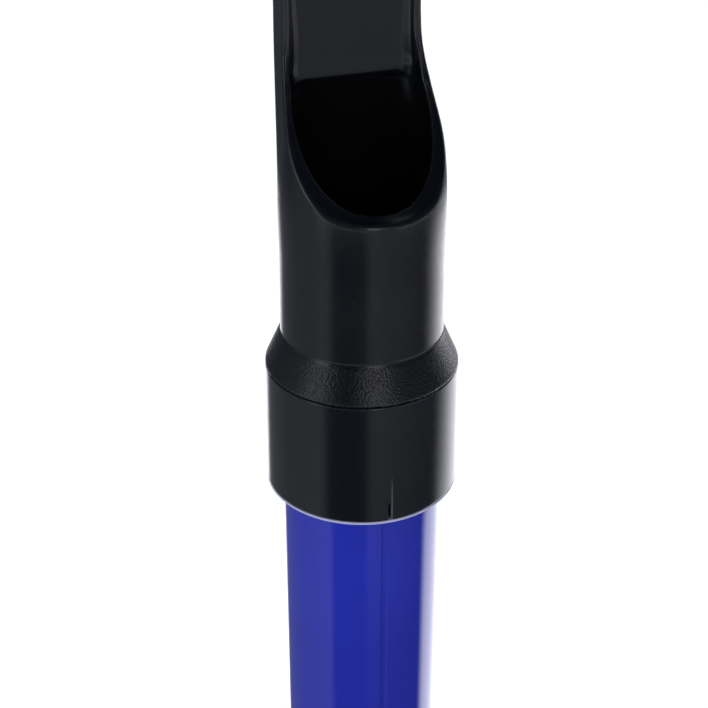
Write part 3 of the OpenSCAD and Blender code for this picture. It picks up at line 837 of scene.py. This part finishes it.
head_nylon = head_material()
collar_gloss = moulded("collar_plastic", (0.0030, 0.0052, 0.0075), (0.008, 0.010, 0.013),
                       0.20, 1200.0, 0.000006, ior=1.53)
clamp_plastic = moulded("clamp_plastic", (0.012, 0.012, 0.014), (0.03, 0.03, 0.033),
                        0.42, 1500.0, 0.00003)
cap_rubber = moulded("cap_rubber", (0.014, 0.014, 0.015), (0.03, 0.03, 0.032),
                     0.55, 900.0, 0.00004)
guide_plastic = moulded("guide_plastic", (0.03, 0.03, 0.033), (0.05, 0.05, 0.05),
                        0.38, 1500.0, 0.00001, has_edge=False)
bumper_rubber = moulded("bumper_rubber", (0.012, 0.012, 0.012), (0.02, 0.02, 0.02),
                        0.7, 700.0, 0.00005, has_edge=False)
blue = tube_material()
pale = washer_material()
grip_foam = foam_material("grip_foam", (0.010, 0.010, 0.011), (0.028, 0.028, 0.030),
                          1100.0, 0.00012)
float_foam = foam_material("float_foam", (0.62, 0.60, 0.52), (0.80, 0.78, 0.70), 700.0, 0.0002)
steel = steel_material()

# Painted highlight along the front of the collar, at the notch
paint_parting_line_highlight(collar_gloss)
place(make_head(), "top_section", "head_plastic", head_nylon, "hook_head")
place(make_collar(), "top_section", "collar_plastic", collar_gloss, "head_collar")
place(make_rivet(), "top_section", "collar_plastic", collar_gloss, "head_pin")
place(make_washer(), "top_section", "washer_plastic", pale, "collar_washer")
place(make_grip(), "handle", "grip_foam", grip_foam, "grip_sleeve")
place(make_cap(), "handle", "cap_plastic", cap_rubber, "end_cap")
for node, body in (("top_tube", "top_section"), ("mid_tube", "mid_section"),
                   ("outer_tube", "handle")):
    place(make_tube(node, "blue_" + node), body, "blue_tube", blue, node)
for prefix, body in (("lower", "handle"), ("upper", "mid_section")):
    place(make_clamp_body(prefix), body, "clamp_plastic", clamp_plastic, prefix + "_clamp_body")
    place(make_lever(prefix), prefix + "_lever", "clamp_plastic", clamp_plastic, prefix + "_lever")
    for part in ("clamp_screw", "cam_plate", "tension_bolt", "lock_nut", "lever_pin"):
        dress(f"{prefix}_{part}", steel)
    dress(prefix + "_clamp_liner", guide_plastic)
for node in ("mid_guide_bush", "top_guide_bush"):
    dress(node, guide_plastic)
dress("end_cap_screw", steel)
dress("butt_bumper", bumper_rubber)
dress("float_plug", float_foam)


# ---------------------------------------------------------------- camera

camera_azimuth = math.radians(-17)
camera_elevation = math.radians(30.29)
camera_distance = 0.26314
aim_left, aim_above_seam = 0.0012, 0.0005
lens_mm, near_clip = 86.04, 0.02

toward_flat = Vector((math.sin(camera_azimuth), -math.cos(camera_azimuth), 0))
viewer_right = Vector((math.cos(camera_azimuth), math.sin(camera_azimuth), 0))
toward = toward_flat * math.cos(camera_elevation) + Vector((0, 0, math.sin(camera_elevation)))
aim = Vector((0, 0, seam_z * MM + aim_above_seam)) - viewer_right * aim_left
camera = bpy.data.objects.new("camera", bpy.data.cameras.new("camera"))
bpy.context.scene.collection.objects.link(camera)
camera.data.lens = lens_mm
camera.data.clip_start = near_clip
camera.location = aim + toward * camera_distance
camera.rotation_mode = "QUATERNION"
camera.rotation_quaternion = (-toward).to_track_quat("-Z", "Y")
bpy.context.scene.camera = camera
bpy.context.scene.view_settings.view_transform = "Standard"


# ---------------------------------------------------------------- floor and light

def make_floor():
    size, glow = 6.0, 0.38
    corners = [(-size, -size, 0), (size, -size, 0), (size, size, 0), (-size, size, 0)]
    floor = mesh_object("floor", corners, [[0, 1, 2, 3]])
    floor.location.z = cad_low[2]
    material, shader, n, coords = start_material("floor", Roughness=0.9)
    shader.inputs["Specular IOR Level"].default_value = 0.0
    shader.inputs["Emission Strength"].default_value = glow
    cloud = n.noise(3.0, 2.0, 0.5, coords)
    pale_grey = n.mix(cloud, (0.84, 0.855, 0.87, 1.0), (0.85, 0.865, 0.88, 1.0))
    connect(n, pale_grey, shader, "Base Color")
    connect(n, pale_grey, shader, "Emission Color")
    floor.data.materials.append(material)
    floor.visible_glossy = False


def make_world():
    """Soft studio: bright strips left and right of the viewer, a dark gap between them and
    a bright backdrop behind, as glossy surfaces show them. The camera itself sees white."""
    world = bpy.data.worlds.new("studio")
    bpy.context.scene.world = world
    world.use_nodes = True
    n = Nodes(world.node_tree)
    direction = n.add("ShaderNodeTexCoord").outputs["Generated"]

    def along(axis):
        return n.add("ShaderNodeVectorMath", {0: direction, 1: tuple(axis)},
                     operation="DOT_PRODUCT").outputs["Value"]

    sideways = n.maths("ARCTAN2", along(viewer_right), along(toward_flat))
    azimuth = n.maths("MULTIPLY", sideways, 180 / math.pi)
    rise = n.maths("MULTIPLY", n.maths("ARCSINE", along((0, 0, 1))), 180 / math.pi)

    def product(*parts):
        result = parts[0]
        for part in parts[1:]:
            result = n.maths("MULTIPLY", result, part)
        return result

    def strip(az0, az1, soft, el0, el1, soft_el, level):
        """Light of one level between two azimuths and two elevations, with soft borders."""
        return product(n.ramp(azimuth, az0 - soft, az0 + soft, 0.0, 1.0),
                       n.ramp(azimuth, az1 - soft, az1 + soft, 1.0, 0.0),
                       n.ramp(rise, el0 - soft_el, el0 + soft_el, 0.0, 1.0),
                       n.ramp(rise, el1 - soft_el, el1 + soft_el, level, 0.0))

    behind = n.maths("ABSOLUTE", azimuth)
    fade_up = n.ramp(rise, 26, 38, 1.0, 0.0)
    spine_side = n.ramp(azimuth, -120, -90, 0.3, 1.0)
    spine_glow = product(n.ramp(rise, -21, -12, 0.5, 0.9, smooth=False),
                         n.ramp(rise, -23, -21, 0.0, 1.0), n.ramp(rise, -13, -11, 1.0, 0.0))
    # Angles are in degrees: azimuth from the viewer, positive to the right, and height above level
    strips = [
        # Broad light on the left, weaker where the spine's side face looks
        product(n.ramp(azimuth, -50, -38, 1.0, 0.0),
                n.ramp(azimuth, -100, -46, 0.19, 0.38, smooth=False),
                n.ramp(azimuth, -140, -100, 0.8, 1.0), n.ramp(rise, -25, -22, 1.0, spine_side),
                n.ramp(rise, 0, 14, 1.0, 0.4), fade_up),
        # Behind on the left, low for the neck's edge and high for the taper's
        product(n.ramp(azimuth, -160, -146, 1.3, 0.0), n.ramp(rise, -26, -23, 1.0, 0.0)),
        product(n.ramp(azimuth, -162, -126, 2.2, 0.0), n.ramp(rise, -4, 2, 0.0, 1.0), fade_up),
        # Broad light on the right, fading towards the side
        product(n.ramp(azimuth, 2, 14, 0.0, 1.0),
                n.ramp(azimuth, 16, 95, 0.40, 0.03, smooth=False),
                n.ramp(rise, -42, -30, 0.15, 1.0), n.ramp(rise, 0, 14, 1.0, 0.2), fade_up),
        # Two lamps that the taper's grain sparkles in
        strip(-62, -46, 6, 0, 26, 6, 1.6),
        strip(8, 26, 6, 0, 26, 6, 1.6),
        # Glow on the flat of the spine
        product(n.ramp(azimuth, 44, 50, 0.0, 1.0), n.ramp(azimuth, 112, 118, 1.0, 0.0), spine_glow),
        product(n.ramp(azimuth, -64, -58, 0.0, 1.0), n.ramp(azimuth, 6, 14, 1.0, 0.0), spine_glow),
        # Bright edge on the right of the taper, then of the tube, collar and neck
        product(n.ramp(azimuth, 106, 146, 0.0, 3.6), n.ramp(rise, -18, -8, 0.0, 1.0), fade_up),
        product(n.ramp(azimuth, n.ramp(rise, -36, -34, 97, 95), n.ramp(rise, -36, -34, 115, 137),
                       0.0, 1.0),
                n.ramp(rise, -42, -25, 2.4, 2.0, smooth=False), n.ramp(rise, -25.5, -23.5, 1.0, 0.0)),
        # Faint edge on the left of the tube and collar, and the backdrop
        product(n.ramp(azimuth, -158, -148, 1.0, 0.0),
                n.ramp(rise, -42, -25, 2.0, 0.0, smooth=False)),
        product(n.ramp(behind, 155, 170, 0.0, 0.5), n.ramp(rise, -8, 4, 0.0, 1.0)),
    ]
    level = strips[0]
    for part in strips[1:]:
        level = n.maths("ADD", level, part)
    strips_light = n.add("ShaderNodeBackground",
                         {"Color": (1.00, 1.00, 1.05, 1.0), "Strength": level})
    dim_room = n.add("ShaderNodeBackground", {"Color": (0.042, 0.052, 0.070, 1.0),
                                              "Strength": n.ramp(rise, 10, 36, 1.0, 0.4)})
    studio = n.add("ShaderNodeAddShader",
                   {0: strips_light.outputs[0], 1: dim_room.outputs[0]}).outputs[0]
    white = n.add("ShaderNodeBackground",
                  {"Color": (0.965, 0.982, 1.0, 1.0), "Strength": 1.0}).outputs[0]
    seen = n.add("ShaderNodeLightPath").outputs["Is Camera Ray"]
    mixed = n.add("ShaderNodeMixShader", {0: seen, 1: studio, 2: white}).outputs[0]
    n.tree.links.new(mixed, n.tree.nodes["World Output"].inputs["Surface"])


def make_light():
    """A broad overhead light, and a fill from beside the camera that gloss doesn't show."""
    light = bpy.data.objects.new("overhead", bpy.data.lights.new("overhead", "SUN"))
    light.data.energy = 1.15
    light.data.angle = math.radians(60)
    light.visible_glossy = False
    fill = bpy.data.objects.new("fill", bpy.data.lights.new("fill", "SUN"))
    fill.data.energy = 0.9
    fill.data.angle = math.radians(50)
    fill.visible_glossy = False
    fill.rotation_mode = "QUATERNION"
    aside = toward_flat * 0.8 - viewer_right * 0.3 + Vector((0, 0, 0.5))
    fill.rotation_quaternion = aside.to_track_quat("Z", "Y")
    bpy.context.scene.collection.objects.link(fill)
    bpy.context.scene.collection.objects.link(light)


make_floor()
make_world()
make_light()
